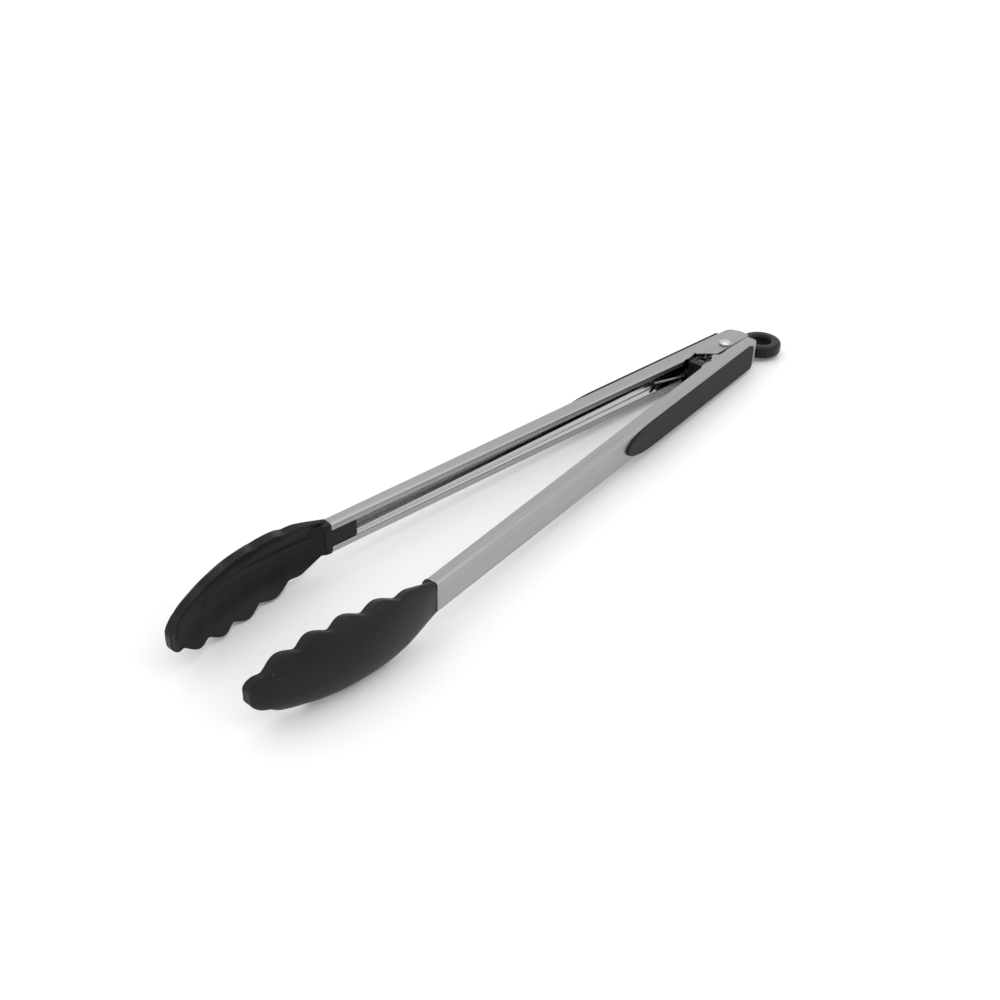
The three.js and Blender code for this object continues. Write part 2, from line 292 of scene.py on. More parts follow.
def block(name: str, low: Point, high: Point, mirror: int = 1) -> bpy.types.Object:
    """A straight block between two corners, for cutting and joining."""
    outline = [(low[0], low[1]), (high[0], low[1]), (high[0], high[1]), (low[0], high[1])]
    return prism(name, outline, low[2], high[2], mirror)


def turned(
    name: str, profile: Sequence[Flat], steps: int = 64, centre: Flat = (0, 0)
) -> bpy.types.Object:
    """A body of revolution about an upright axis.

    Args:
        name: the object's name.
        profile: a closed loop of radius and height pairs.
        steps: how many facets it has round the axis.
        centre: where the axis stands.

    Returns:
        The object.
    """
    points: list[Point] = []
    for i in range(steps):
        turn = 2 * math.pi * i / steps
        c, s = math.cos(turn), math.sin(turn)
        points += [(centre[0] + r * c, centre[1] + r * s, z) for r, z in profile]
    count = len(profile)
    faces = []
    for i in range(steps):
        a, b = i * count, ((i + 1) % steps) * count
        for j in range(count):
            k = (j + 1) % count
            corners = [a + j, a + k, b + k, b + j]
            if profile[k][0] < 1e-9 and profile[j][0] < 1e-9:
                continue
            if profile[k][0] < 1e-9:
                corners = [a + j, a + k, b + j]
            elif profile[j][0] < 1e-9:
                corners = [a + j, a + k, b + k]
            faces.append(corners)
    return mesh_object(name, points, faces)


def post(name: str, centre: Flat, radius: float, low: float, high: float) -> bpy.types.Object:
    """An upright round post, for cutting and joining."""
    return turned(name, [(0, low), (radius, low), (radius, high), (0, high)], 40, centre)


def sweep(name: str, path: Sequence[Vector], radius: float, sides: int = 14) -> bpy.types.Object:
    """A round wire along a path, with its ends rounded off.

    Args:
        name: the object's name.
        path: points along the wire's middle.
        radius: the wire's radius.
        sides: facets round the wire.

    Returns:
        The object.
    """
    nose_length = 0.6
    first = (path[1] - path[0]).normalized()
    normal = first.cross(Vector((0, 0, 1))).normalized()
    stops: list[tuple[Vector, Vector, float]] = []
    for i, here in enumerate(path):
        ahead = path[min(i + 1, len(path) - 1)] - path[max(i - 1, 0)]
        stops.append((here, ahead.normalized(), radius))
    for end, toward in ((0, -1.0), (-1, 1.0)):
        here, ahead, _ = stops[end]
        nose = []
        for turn in (30, 60, 82):
            t = math.radians(turn)
            tip = here + ahead * toward * radius * nose_length * math.sin(t)
            nose.append((tip, ahead, radius * math.cos(t)))
        stops = nose[::-1] + stops if end == 0 else stops + nose
    rings = []
    for here, ahead, size in stops:
        normal = (normal - ahead * normal.dot(ahead)).normalized()
        side = ahead.cross(normal)
        ring = []
        for k in range(sides):
            turn = 2 * math.pi * k / sides
            ring.append(tuple(here + (normal * math.cos(turn) + side * math.sin(turn)) * size))
        rings.append(ring)
    return loft(name, rings)


def settle(obj: bpy.types.Object) -> None:
    """Makes an object's modifiers part of its mesh."""
    bpy.context.view_layer.update()
    graph = bpy.context.evaluated_depsgraph_get()
    mesh = bpy.data.meshes.new_from_object(obj.evaluated_get(graph))
    obj.modifiers.clear()
    old, obj.data = obj.data, mesh
    bpy.data.meshes.remove(old)
    mesh.name = obj.name


def combine(target: bpy.types.Object, tool: bpy.types.Object, how: Cut) -> None:
    """Cuts or joins a solid with another, which is used up.

    Args:
        target: the solid that is changed.
        tool: the solid that is used up.
        how: what is kept.
    """
    modifier = target.modifiers.new("cut", "BOOLEAN")
    modifier.object = tool
    modifier.operation = how.value
    modifier.solver = "EXACT"
    modifier.use_self = True
    settle(target)
    spent = tool.data
    bpy.data.objects.remove(tool)
    bpy.data.meshes.remove(spent)


def trim(obj: bpy.types.Object, gap: float = 0.004, angle: float = 0.6) -> None:
    """Merges points that nearly touch and dissolves edges across flat faces.

    Args:
        obj: the object to clean.
        gap: points closer than this many millimetres are merged.
        angle: faces within this many degrees are one flat face.
    """
    bm = bmesh.new()
    bm.from_mesh(obj.data)
    bmesh.ops.remove_doubles(bm, verts=bm.verts, dist=gap * MM)
    bmesh.ops.dissolve_limit(
        bm, angle_limit=math.radians(angle), verts=bm.verts, edges=bm.edges
    )
    bm.to_mesh(obj.data)
    bm.free()


def ease(obj: bpy.types.Object, width: float, segments: int = 2, angle: float = 38) -> None:
    """Rounds every sharp edge.

    Args:
        obj: the object to round.
        width: how far the rounding reaches, in millimetres.
        segments: facets across each rounding.
        angle: edges sharper than this many degrees are rounded.
    """
    modifier = obj.modifiers.new("ease", "BEVEL")
    modifier.width = width * MM
    modifier.segments = segments
    modifier.limit_method = "ANGLE"
    modifier.angle_limit = math.radians(angle)
    modifier.use_clamp_overlap = False
    modifier.miter_outer = "MITER_ARC"
    settle(obj)


def smooth(obj: bpy.types.Object, angle: float = 32) -> None:
    """Shades an object smooth, with true sharp edges left sharp and flat faces left flat."""
    mesh = obj.data
    mesh.polygons.foreach_set("use_smooth", [True] * len(mesh.polygons))
    mesh.set_sharp_from_angle(angle=math.radians(angle))
    modifier = obj.modifiers.new("normals", "WEIGHTED_NORMAL")
    modifier.keep_sharp = True
    settle(obj)


def pivot_point() -> Vector:
    """The middle of the pivot rivet, in metres."""
    low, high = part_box("pivot_rivet")
    return (low + high) / 2


def arm_frame(side: Side) -> Matrix:
    """Where an arm's own frame stands at rest."""
    turn = Matrix.Rotation(side.value * OPEN_ANGLE, 4, "Z")
    return Matrix.Translation(pivot_point()) @ turn


def fit(
    obj: bpy.types.Object,
    place: Matrix,
    body: str,
    nodes: Sequence[str],
    materials: Sequence[bpy.types.Material],
) -> bpy.types.Object:
    """Puts a finished piece in its place on a body of the frame.

    Args:
        obj: the piece, built in its own frame.
        place: its own frame at rest.
        body: the body that it moves with.
        nodes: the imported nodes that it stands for.
        materials: its finishes, in the order that its faces name them.

    Returns:
        The piece.
    """
    while len(obj.data.materials) < len(materials):
        obj.data.materials.append(None)
    for i, material in enumerate(materials):
        obj.data.materials[i] = material
    obj.data.transform(place)
    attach(obj, body)
    if nodes:
        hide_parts(*nodes)
    log.info("%s on %s, %d faces", obj.name, body, len(obj.data.polygons))
    return obj


# ---------------------------------------------------------------- shader wiring


class Wiring:
    """Adds nodes to one node tree and links them."""

    def __init__(self, tree: bpy.types.NodeTree) -> None:
        """Starts with a tree that has no nodes."""
        self.tree = tree
        tree.nodes.clear()

    def add(self, kind: str, values: dict | None = None, **settings: object) -> bpy.types.Node:
        """Adds one node.

        Args:
            kind: the node's type name after "ShaderNode".
            values: what its input sockets are set to, by name or number.
            **settings: the node's own properties.

        Returns:
            The node.
        """
        prefix = "" if kind.startswith("Node") else "ShaderNode"
        node = self.tree.nodes.new(prefix + kind)
        for name, value in settings.items():
            setattr(node, name, value)
        for socket, value in (values or {}).items():
            node.inputs[socket].default_value = value
        return node

    def link(self, source: bpy.types.NodeSocket, target: bpy.types.NodeSocket) -> None:
        """Links an output to an input."""
        self.tree.links.new(source, target)

    def maths(
        self, operation: str, first: bpy.types.NodeSocket, second: bpy.types.NodeSocket | float
    ) -> bpy.types.NodeSocket:
        """A sum, product or other operation on one value and another or a number."""
        node = self.add("Math", operation=operation)
        self.link(first, node.inputs[0])
        if isinstance(second, (int, float)):
            node.inputs[1].default_value = second
        else:
            self.link(second, node.inputs[1])
        return node.outputs[0]

    def spread(
        self, source: bpy.types.NodeSocket, low: float, high: float, to_low: float, to_high: float
    ) -> bpy.types.NodeSocket:
        """Spreads values between low and high over a new range, held at its ends."""
        node = self.add("MapRange", {1: low, 2: high, 3: to_low, 4: to_high}, clamp=True)
        self.link(source, node.inputs[0])
        return node.outputs[0]

    def tint(
        self,
        mask: bpy.types.NodeSocket,
        first: Sequence[float] | bpy.types.NodeSocket,
        second: Sequence[float] | bpy.types.NodeSocket,
    ) -> bpy.types.NodeSocket:
        """Mixes two colours by a mask."""
        node = self.add("Mix", data_type="RGBA", blend_type="MIX")
        self.link(mask, node.inputs["Factor"])
        for socket, colour in ((node.inputs[6], first), (node.inputs[7], second)):
            if isinstance(colour, bpy.types.NodeSocket):
                self.link(colour, socket)
            else:
                socket.default_value = (*colour, 1.0)
        return node.outputs[2]


class Effect(Enum):
    """The shader node groups that more than one finish uses."""

    BRUSHED = "brushed_lines"
    MOTTLE = "soft_mottle"
    WEAR = "edge_wear"
    SPECKS = "fine_dust"
    GRAIN = "moulded_grain"


class Effects:
    """Builds each shared node group once and hands it out."""

    def __init__(self) -> None:
        """Builds all the groups."""
        self.groups = {
            Effect.BRUSHED: self.brushed(),
            Effect.MOTTLE: self.mottle(),
            Effect.WEAR: self.wear(),
            Effect.SPECKS: self.specks(),
            Effect.GRAIN: self.grain(),
        }

    @staticmethod
    def start(
        effect: Effect, inputs: Sequence[tuple[str, str, float]], outputs: Sequence[tuple[str, str]]
    ) -> tuple[bpy.types.NodeTree, Wiring, bpy.types.Node, bpy.types.Node]:
        """Makes an empty group with its sockets.

        Args:
            effect: which group it is.
            inputs: each input's name, socket type and default.
            outputs: each output's name and socket type.

        Returns:
            The group, its wiring, its input node and its output node.
        """
        group = bpy.data.node_groups.new(effect.value, "ShaderNodeTree")
        for name, kind, value in inputs:
            socket = group.interface.new_socket(name, in_out="INPUT", socket_type=kind)
            if kind == "NodeSocketFloat":
                socket.default_value = value
        for name, kind in outputs:
            group.interface.new_socket(name, in_out="OUTPUT", socket_type=kind)
        wiring = Wiring(group)
        return group, wiring, wiring.add("NodeGroupInput"), wiring.add("NodeGroupOutput")

    def brushed(self) -> bpy.types.NodeTree:
        """Long fine lines along X, as an abrasive belt leaves them."""
        group, w, given, out = self.start(
            Effect.BRUSHED,
            [
                ("Vector", "NodeSocketVector", 0),
                ("Lines", "NodeSocketFloat", 2600),
                ("Length", "NodeSocketFloat", 30),
            ],
            [("Streak", "NodeSocketFloat"), ("Height", "NodeSocketFloat")],
        )
        scale = w.add("CombineXYZ")
        w.link(given.outputs["Length"], scale.inputs[0])
        w.link(given.outputs["Lines"], scale.inputs[1])
        w.link(given.outputs["Lines"], scale.inputs[2])
        stretched = w.add("VectorMath", operation="MULTIPLY")
        w.link(given.outputs["Vector"], stretched.inputs[0])
        w.link(scale.outputs[0], stretched.inputs[1])
        fine = w.add("TexNoise", {"Scale": 1.0, "Detail": 3.0, "Roughness": 0.65})
        broad = w.add("TexNoise", {"Scale": 0.22, "Detail": 2.0, "Roughness": 0.5})
        w.link(stretched.outputs[0], fine.inputs["Vector"])
        w.link(stretched.outputs[0], broad.inputs["Vector"])
        both = w.maths("ADD", w.maths("MULTIPLY", fine.outputs["Fac"], 0.55),
                       w.maths("MULTIPLY", broad.outputs["Fac"], 0.45))
        w.link(w.spread(both, 0.32, 0.68, 0, 1), out.inputs["Streak"])
        w.link(both, out.inputs["Height"])
        return group

    def mottle(self) -> bpy.types.NodeTree:
        """Slow uneven patches, as handling and moulding leave them."""
        group, w, given, out = self.start(
            Effect.MOTTLE,
            [("Vector", "NodeSocketVector", 0), ("Scale", "NodeSocketFloat", 60)],
            [("Mask", "NodeSocketFloat")],
        )
        noise = w.add("TexNoise", {"Detail": 5.0, "Roughness": 0.6, "Distortion": 0.3})
        w.link(given.outputs["Vector"], noise.inputs["Vector"])
        w.link(given.outputs["Scale"], noise.inputs["Scale"])
        w.link(w.spread(noise.outputs["Fac"], 0.3, 0.7, 0, 1), out.inputs["Mask"])
        return group

    def wear(self) -> bpy.types.NodeTree:
        """Where the surface turns over an edge, broken up by noise."""
        group, w, given, out = self.start(
            Effect.WEAR,
            [("Vector", "NodeSocketVector", 0), ("Reach", "NodeSocketFloat", 0.0006)],
            [("Mask", "NodeSocketFloat")],
        )
        eased = w.add("Bevel", samples=4)
        w.link(given.outputs["Reach"], eased.inputs["Radius"])
        plain = w.add("NewGeometry")
        facing = w.add("VectorMath", operation="DOT_PRODUCT")
        w.link(eased.outputs[0], facing.inputs[0])
        w.link(plain.outputs["Normal"], facing.inputs[1])
        turned_over = w.spread(facing.outputs["Value"], 0.995, 0.86, 0, 1)
        noise = w.add("TexNoise", {"Scale": 420.0, "Detail": 3.0})
        w.link(given.outputs["Vector"], noise.inputs["Vector"])
        broken = w.spread(noise.outputs["Fac"], 0.35, 0.6, 0.25, 1)
        w.link(w.maths("MULTIPLY", turned_over, broken), out.inputs["Mask"])
        return group

    def specks(self) -> bpy.types.NodeTree:
        """Sparse specks of dust, each smaller than half a millimetre."""
        group, w, given, out = self.start(
            Effect.SPECKS,
            [("Vector", "NodeSocketVector", 0), ("Amount", "NodeSocketFloat", 0.5)],
            [("Mask", "NodeSocketFloat")],
        )
        cells = w.add("TexVoronoi", {"Scale": 260.0}, feature="F1")
        w.link(given.outputs["Vector"], cells.inputs["Vector"])
        dots = w.spread(cells.outputs["Distance"], 0.05, 0.12, 1, 0)
        patch = w.add("TexNoise", {"Scale": 90.0, "Detail": 2.0})
        w.link(given.outputs["Vector"], patch.inputs["Vector"])
        chosen = w.spread(patch.outputs["Fac"], 0.56, 0.66, 0, 1)
        shown = w.maths("MULTIPLY", w.maths("MULTIPLY", dots, chosen), given.outputs["Amount"])
        w.link(shown, out.inputs["Mask"])
        return group

    def grain(self) -> bpy.types.NodeTree:
        """The fine pebbled texture of a moulded or soft-touch surface."""
        group, w, given, out = self.start(
            Effect.GRAIN,
            [("Vector", "NodeSocketVector", 0), ("Scale", "NodeSocketFloat", 1800)],
            [("Height", "NodeSocketFloat"), ("Mask", "NodeSocketFloat")],
        )
        cells = w.add("TexVoronoi", feature="SMOOTH_F1")
        noise = w.add("TexNoise", {"Detail": 4.0, "Roughness": 0.7})
        for node in (cells, noise):
            w.link(given.outputs["Vector"], node.inputs["Vector"])
            w.link(given.outputs["Scale"], node.inputs["Scale"])
        both = w.maths("ADD", w.maths("MULTIPLY", cells.outputs["Distance"], 0.5),
                       w.maths("MULTIPLY", noise.outputs["Fac"], 0.5))
        w.link(both, out.inputs["Height"])
        w.link(w.spread(both, 0.25, 0.65, 0, 1), out.inputs["Mask"])
        return group

    def place(
        self, w: Wiring, effect: Effect, vector: bpy.types.NodeSocket, **values: float
    ) -> bpy.types.Node:
        """Places a group in a material.

        Args:
            w: the material's wiring.
            effect: which group.
            vector: the coordinates it is drawn on.
            **values: its other inputs by name.

        Returns:
            The group node.
        """
        node = w.add("Group")
        node.node_tree = self.groups[effect]
        for name, value in values.items():
            node.inputs[name].default_value = value
        w.link(vector, node.inputs["Vector"])
        return node


def bare_material(
    name: str,
) -> tuple[bpy.types.Material, Wiring, bpy.types.Node, bpy.types.NodeSocket]:
    """A material with a Principled shader, an output and object coordinates.

    Args:
        name: the material's name.

    Returns:
        The material, its wiring, its shader and its coordinates.
    """
    material = bpy.data.materials.new(name)
    material.use_nodes = True
    w = Wiring(material.node_tree)
    shader = w.add("BsdfPrincipled")
    output = w.add("OutputMaterial")
    w.link(shader.outputs[0], output.inputs["Surface"])
    place = w.add("TexCoord")
    return material, w, shader, place.outputs["Object"]


def raise_surface(
    w: Wiring, shader: bpy.types.Node, height: bpy.types.NodeSocket, depth: float, strength: float
) -> None:
    """Feeds a height into a shader's normal.

    Args:
        w: the material's wiring.
        shader: the shader that takes the normal.
        height: values from 0 to 1.
        depth: what a height of 1 stands for, in millimetres.
        strength: how strongly it shows.
    """
    bump = w.add("Bump", {"Strength": strength, "Distance": depth * MM})
    w.link(height, bump.inputs["Height"])
    w.link(bump.outputs[0], shader.inputs["Normal"])


@dataclass(frozen=True)
class BrushedSteel:
    """Stainless steel with a long brushed grain, or polished where the lines are faint."""

    name: str
    dark: tuple[float, float, float]
    light: tuple[float, float, float]
    smoothest: float
    roughest: float
    depth: float = 0.012
    strength: float = 0.35
    lines: float = 2600
    length: float = 30
    turn: float = 0.0
    patches: float = 45.0
    wear_reach: float = 0.0005
    wear_gain: float = 1.18

    def make(self, effects: Effects) -> bpy.types.Material:
        """Makes the material.

        Args:
            effects: the shared node groups.

        Returns:
            The material.
        """
        material, w, shader, place = bare_material(self.name)
        shader.inputs["Metallic"].default_value = 1.0
        followed = w.add("VectorRotate", {"Angle": -self.turn}, rotation_type="Z_AXIS")
        w.link(place, followed.inputs["Vector"])
        vector = followed.outputs[0]
        streaks = effects.place(w, Effect.BRUSHED, vector, Lines=self.lines, Length=self.length)
        patches = effects.place(w, Effect.MOTTLE, vector, Scale=self.patches)
        worn = effects.place(w, Effect.WEAR, vector, Reach=self.wear_reach)
        base = w.tint(streaks.outputs["Streak"], self.dark, self.light)
        bright = tuple(min(1.0, c * self.wear_gain) for c in self.light)
        w.link(w.tint(worn.outputs["Mask"], base, bright), shader.inputs["Base Color"])
        uneven = w.maths("ADD", w.maths("MULTIPLY", streaks.outputs["Streak"], 0.6),
                         w.maths("MULTIPLY", patches.outputs["Mask"], 0.4))
        w.link(w.spread(uneven, 0, 1, self.smoothest, self.roughest), shader.inputs["Roughness"])
        raise_surface(w, shader, streaks.outputs["Height"], self.depth, self.strength)
        return material


@dataclass(frozen=True)
class Moulded:
    """Moulded nylon or soft-touch rubber with a pebbled grain, patches and a little dust."""

    name: str
    dark: tuple[float, float, float]
    light: tuple[float, float, float]
    smoothest: float
    roughest: float
    scale: float = 1800
    depth: float = 0.02
    strength: float = 0.3
    dust: float = 0.2
    specular: float = 0.5
    patches: float = 70.0
    wear_reach: float = 0.0007
    wear_gain: float = 1.7
    wear_share: float = 0.7
    dust_grey: float = 0.18

    def make(self, effects: Effects) -> bpy.types.Material:
        """Makes the material.

        Args:
            effects: the shared node groups.

        Returns:
            The material.
        """
        material, w, shader, vector = bare_material(self.name)
        shader.inputs["Specular IOR Level"].default_value = self.specular
        grain = effects.place(w, Effect.GRAIN, vector, Scale=self.scale)
        patches = effects.place(w, Effect.MOTTLE, vector, Scale=self.patches)
        worn = effects.place(w, Effect.WEAR, vector, Reach=self.wear_reach)
        dust = effects.place(w, Effect.SPECKS, vector, Amount=self.dust)
        base = w.tint(patches.outputs["Mask"], self.dark, self.light)
        rubbed = tuple(c * self.wear_gain for c in self.light)
        edges = w.tint(w.maths("MULTIPLY", worn.outputs["Mask"], self.wear_share), base, rubbed)
        dusty = w.tint(dust.outputs["Mask"], edges, (self.dust_grey,) * 3)
        w.link(dusty, shader.inputs["Base Color"])
        uneven = w.maths("ADD", w.maths("MULTIPLY", grain.outputs["Mask"], 0.5),
                         w.maths("MULTIPLY", patches.outputs["Mask"], 0.5))
        w.link(w.spread(uneven, 0, 1, self.smoothest, self.roughest), shader.inputs["Roughness"])
        raise_surface(w, shader, grain.outputs["Height"], self.depth, self.strength)
        return material


@dataclass(frozen=True)
class PaleFloor:
    """A smooth white table top."""

    name: str = "pale_floor"

    def make(self) -> bpy.types.Material:
        """Makes the material."""
        material, w, shader, vector = bare_material(self.name)
        noise = w.add("TexNoise", {"Scale": 9.0, "Detail": 4.0})
        w.link(vector, noise.inputs["Vector"])
        w.link(w.tint(noise.outputs["Fac"], (0.93, 0.93, 0.935), (0.955, 0.955, 0.96)),
               shader.inputs["Base Color"])
        w.link(w.spread(noise.outputs["Fac"], 0.3, 0.7, 0.32, 0.4), shader.inputs["Roughness"])
        shader.inputs["Specular IOR Level"].default_value = 0.35
        return material


@dataclass
class Palette:
    """Every finish of the tongs, made once."""

    effects: Effects

    def __post_init__(self) -> None:
        """Makes the materials."""
        self.brushed = {side: self.brushed_steel(side) for side in Side}
        self.polished = {side: self.polished_steel(side) for side in Side}
        self.rivet = BrushedSteel(
            "rivet_steel", (0.48, 0.48, 0.49), (0.66, 0.66, 0.67), 0.2, 0.34,
            depth=0.03, strength=0.5, lines=900, length=700,
        ).make(self.effects)
        self.wire = BrushedSteel(
            "drawn_wire", (0.42, 0.42, 0.43), (0.60, 0.60, 0.61), 0.18, 0.3,
            lines=3200, length=90,
        ).make(self.effects)
        self.pin = BrushedSteel(
            "dark_pin_steel", (0.08, 0.08, 0.08), (0.13, 0.13, 0.13), 0.3, 0.45,
            lines=1800, length=90,
        ).make(self.effects)
        self.grip = Moulded(
            "soft_touch_rubber", (0.020, 0.0205, 0.021), (0.028, 0.0285, 0.029), 0.58, 0.78,
            scale=2600, depth=0.015, strength=0.35, dust=0.2, specular=0.16,
        ).make(self.effects)
        self.nylon = Moulded(
            "black_nylon", (0.0062, 0.0064, 0.007), (0.0095, 0.0097, 0.0102), 0.3, 0.46,
            scale=1500, depth=0.02, strength=0.22, dust=0.2, specular=0.19,
        ).make(self.effects)
        self.lock = Moulded(
            "lock_nylon", (0.0065, 0.0065, 0.007), (0.010, 0.010, 0.0105), 0.26, 0.42,
            scale=2200, depth=0.012, strength=0.2, dust=0.2, specular=0.2,
        ).make(self.effects)

    def brushed_steel(self, side: Side) -> bpy.types.Material:
        """The steel outside, with its grain along one arm."""
        return BrushedSteel(
            f"brushed_steel_{side.word}", (0.32, 0.32, 0.32), (0.405, 0.405, 0.405), 0.3, 0.42,
            turn=side.value * OPEN_ANGLE,
        ).make(self.effects)

    def polished_steel(self, side: Side) -> bpy.types.Material:
        """The steel in the hollow, with its grain along one arm."""
        return BrushedSteel(
            f"polished_steel_{side.word}", (0.50, 0.495, 0.49), (0.58, 0.575, 0.57), 0.06, 0.09,
            depth=0.003, strength=0.04, lines=1500, length=8, turn=side.value * OPEN_ANGLE,
        ).make(self.effects)


# ---------------------------------------------------------------- arms


@dataclass
class ArmChannel:
    """One arm folded from sheet: a web outside, two flanges, two lips and the hinge ears."""

    side: Side
    sheet: float = 0.9
    half: float = 7.25
    length: float = 250.0
    web: float = 10.75
    inner_back: float = 2.5
    inner_front: float = 5.0
    channel_start: float = 25.0
    lip_start: float = 30.0
    lip_reach: float = 3.2
    bend: float = 1.45
    bend_steps: int = 6
    ear_drop: float = 1.2
    hole: float = 2.55
    plan_back: float = -20.0
    lip_step: float = 0.6
    lip_sections: int = 12
    edge_ease: float = 0.1

    def inner_edge(self, x: float) -> float:
        """Where the flange's inner edge lies at a place along the arm."""
        share = (x - self.channel_start) / (self.length - self.channel_start)
        return self.inner_back + (self.inner_front - self.inner_back) * share

    def fold(self, centre: Flat, start: float, end: float, outside: bool) -> list[Flat]:
        """One rounded fold of the sheet, on its outer or inner face."""
        radius = self.bend if outside else self.bend - self.sheet
        return arc(centre, radius, start, end, self.bend_steps)

    def lipped(self, edge: float) -> list[Flat]:
        """The channel's section where it has lips.

        Args:
            edge: Y of the lips' outer faces.

        Returns:
            A closed loop in Y and Z.
        """
        b, s = self.bend, self.sheet
        tip = self.half - self.lip_reach
        high, low = self.half - b, b - self.half
        near, far = edge + b, self.web - b
        outer = [(edge, tip), *self.fold((near, high), 180, 90, True)]
        outer += self.fold((far, high), 90, 0, True)
        outer += self.fold((far, low), 0, -90, True)
        outer += [*self.fold((near, low), -90, -180, True), (edge, -tip)]
        inner = [(edge + s, -tip), *self.fold((near, low), -180, -90, False)]
        inner += self.fold((far, low), -90, 0, False)
        inner += self.fold((far, high), 0, 90, False)
        inner += [*self.fold((near, high), 90, 180, False), (edge + s, tip)]
        return outer + inner

    def plain(self, edge: float) -> list[Flat]:
        """The section where the flanges end without lips, point for point like lipped().

        Args:
            edge: Y where the flanges end.

        Returns:
            A closed loop in Y and Z.
        """
        s, n = self.sheet, self.bend_steps
        top = self.half
        reach = self.bend
        out_row = [(edge + reach * k / n, top) for k in range(n + 1)]
        in_row = [(edge + reach * (k + 1) / (n + 1), top - s) for k in range(n + 1)]
        outer = [(edge, top - s / 2), *out_row]
        inner = [(edge, top - s), *in_row]
        far = self.web - self.bend
        web_outer = self.fold((far, top - reach), 90, 0, True)
        web_inner = self.fold((far, top - reach), 90, 0, False)
        upper_out = outer + web_outer
        upper_in = inner + web_inner
        lower_out = [(y, -z) for y, z in reversed(upper_out)]
        lower_in = [(y, -z) for y, z in upper_in]
        return upper_out + lower_out + lower_in + list(reversed(upper_in))

    def outline(self) -> list[Flat]:
        """Plan of the flanges at the hinge, run on past the arm's end."""
        if self.side is Side.RIGHT:
            corners = [
                (-11.5, 13.0), (-11.5, 10.75), (-16.4, 8.6), (-18.4, 3.2), (-17.6, -1.9),
                (-11.9, -2.4), (9.0, -3.8), (12.1, -3.8), (14.4, -1.3), (20.4, 3.7),
            ]
            radii = [0, 0.8, 3.6, 3.6, 1.7, 1.0, 2.0, 0.8, 0.8, 2.0]
        else:
            corners = [
                (-14.3, 13.0), (-14.3, 9.0), (-14.7, 5.2), (0.3, 4.0), (5.0, 3.7), (9.2, 3.95),
                (12.3, 3.8), (14.7, 0.8), (21.5, 3.4),
            ]
            radii = [0, 2.0, 0.9, 1.5, 1.5, 1.0, 0.7, 0.7, 1.5]
        run_on = [(self.channel_start, 2.5), (25.3, 1.0), (251.0, 1.0), (251.0, 13.0)]
        return rounded(corners, radii) + run_on

    def tube(self) -> bpy.types.Object:
        """The folded sheet before its hinge end is cut to shape."""
        deep = -9.0
        before_lips = self.lip_start - self.lip_step
        stations = [
            (self.plan_back, self.plain(deep)),
            (self.channel_start - 1.0, self.plain(deep)),
            (self.channel_start, self.plain(self.inner_back)),
            (before_lips, self.plain(self.inner_edge(before_lips))),
        ]
        count = self.lip_sections
        for i in range(count + 1):
            x = self.lip_start + (self.length - self.lip_start) * i / count
            stations.append((x, self.lipped(self.inner_edge(x))))
        rings = [[(x, y, z) for y, z in section] for x, section in stations]
        return loft(f"{self.side.word}_arm_sheet", rings, self.side.value)

    def set_down_ear(self, upper: int) -> tuple[bpy.types.Object, bpy.types.Object]:
        """The left arm's ear, set down under the other arm's, and the step that leads to it.

        Args:
            upper: 1 for the upper ear, -1 for the lower one.

        Returns:
            The ear and the step.
        """
        low = self.half - self.sheet - self.ear_drop
        ear = rounded(
            [(-11, 8.6), (-9.0, 1.5), (-6.4, -4.6), (-2.5, -7.2), (2.5, -7.2), (6.4, -4.6),
             (9.0, 1.0), (11.5, 4.4), (11, 8.6)],
            [0, 3, 3, 2, 2, 3, 2, 1, 0],
        )
        step = [
            (-10.7, 8.4), (-10.7, 5.05), (0.3, 4.12), (5.0, 3.82), (9.0, 4.07), (10.7, 4.5),
            (10.7, 8.4),
        ]
        heights = sorted((upper * low, upper * (low + self.sheet)))
        rise = sorted((upper * (low + 0.05), upper * (self.half - self.sheet / 2)))
        return (
            prism("ear", ear, *heights, self.side.value),
            prism("step", step, *rise, self.side.value),
        )

    def polish_inside(self, obj: bpy.types.Object) -> None:
        """Gives the faces that look into the hollow the second finish."""
        ahead, slack = 0.3, 0.1
        for polygon in obj.data.polygons:
            probe = (polygon.center + polygon.normal * ahead * MM) / MM
            y = probe.y * self.side.value
            between = abs(probe.z) < self.half - self.sheet + slack
            inside = between and y < self.web - self.sheet + slack
            lip_face = self.inner_edge(probe.x) + self.sheet
            behind_lip = probe.x < self.lip_start or y > lip_face - slack
            polygon.material_index = 1 if inside and behind_lip else 0

    def build(self) -> bpy.types.Object:
        """Builds the channel in the arm's own frame."""
        obj = self.tube()
        cutter = prism("plan", self.outline(), -BEYOND, BEYOND, self.side.value)
        combine(obj, cutter, Cut.KEEP_COMMON)
        if self.side is Side.LEFT:
            for upper in (1, -1):
                for part in self.set_down_ear(upper):
                    combine(obj, part, Cut.JOIN)
        combine(obj, post("hole", (0, 0), self.hole, -BEYOND, BEYOND), Cut.TAKE_AWAY)
        trim(obj)
        ease(obj, self.edge_ease, 1)
        smooth(obj)
        self.polish_inside(obj)
        return obj

    def dress(self, palette: Palette) -> bpy.types.Object:
        """Builds the channel, finishes it and puts it on its arm."""
        return fit(
            self.build(), arm_frame(self.side), f"{self.side.word}_arm",
            [f"{self.side.word}_arm_channel"],
            [palette.brushed[self.side], palette.polished[self.side]],
        )


